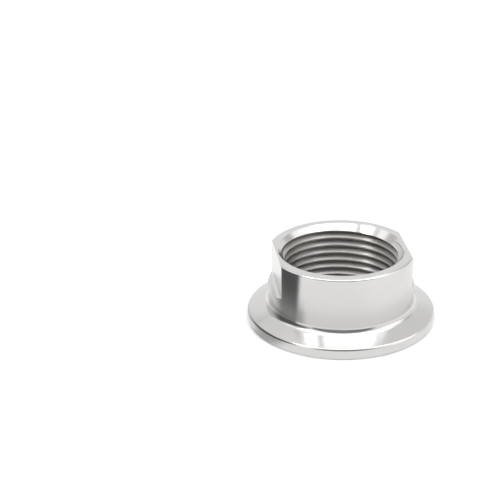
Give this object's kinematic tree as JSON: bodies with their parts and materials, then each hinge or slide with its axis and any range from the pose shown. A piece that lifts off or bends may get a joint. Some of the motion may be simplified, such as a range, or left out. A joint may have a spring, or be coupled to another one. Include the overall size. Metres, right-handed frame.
{
  "type": "sanitary clamp threaded adapter",
  "caption": "Stainless sanitary clamp ferrule with a female pipe thread, a gasket groove in its sealing face, a tapered clamp flange and wrench flats.",
  "frame": {"origin": "centre of the sealing face, on the bore's axis, at the plane that the piece stands on", "axes": "+Z along the bore to the threaded mouth, +X square to one wrench flat"},
  "size_m": [0.0506, 0.0504, 0.02],
  "materials": {
    "stainless": "turned and polished stainless steel"
  },
  "bodies": {
    "root": {"clamp_adapter": "stainless"}
  },
  "joints": []
}
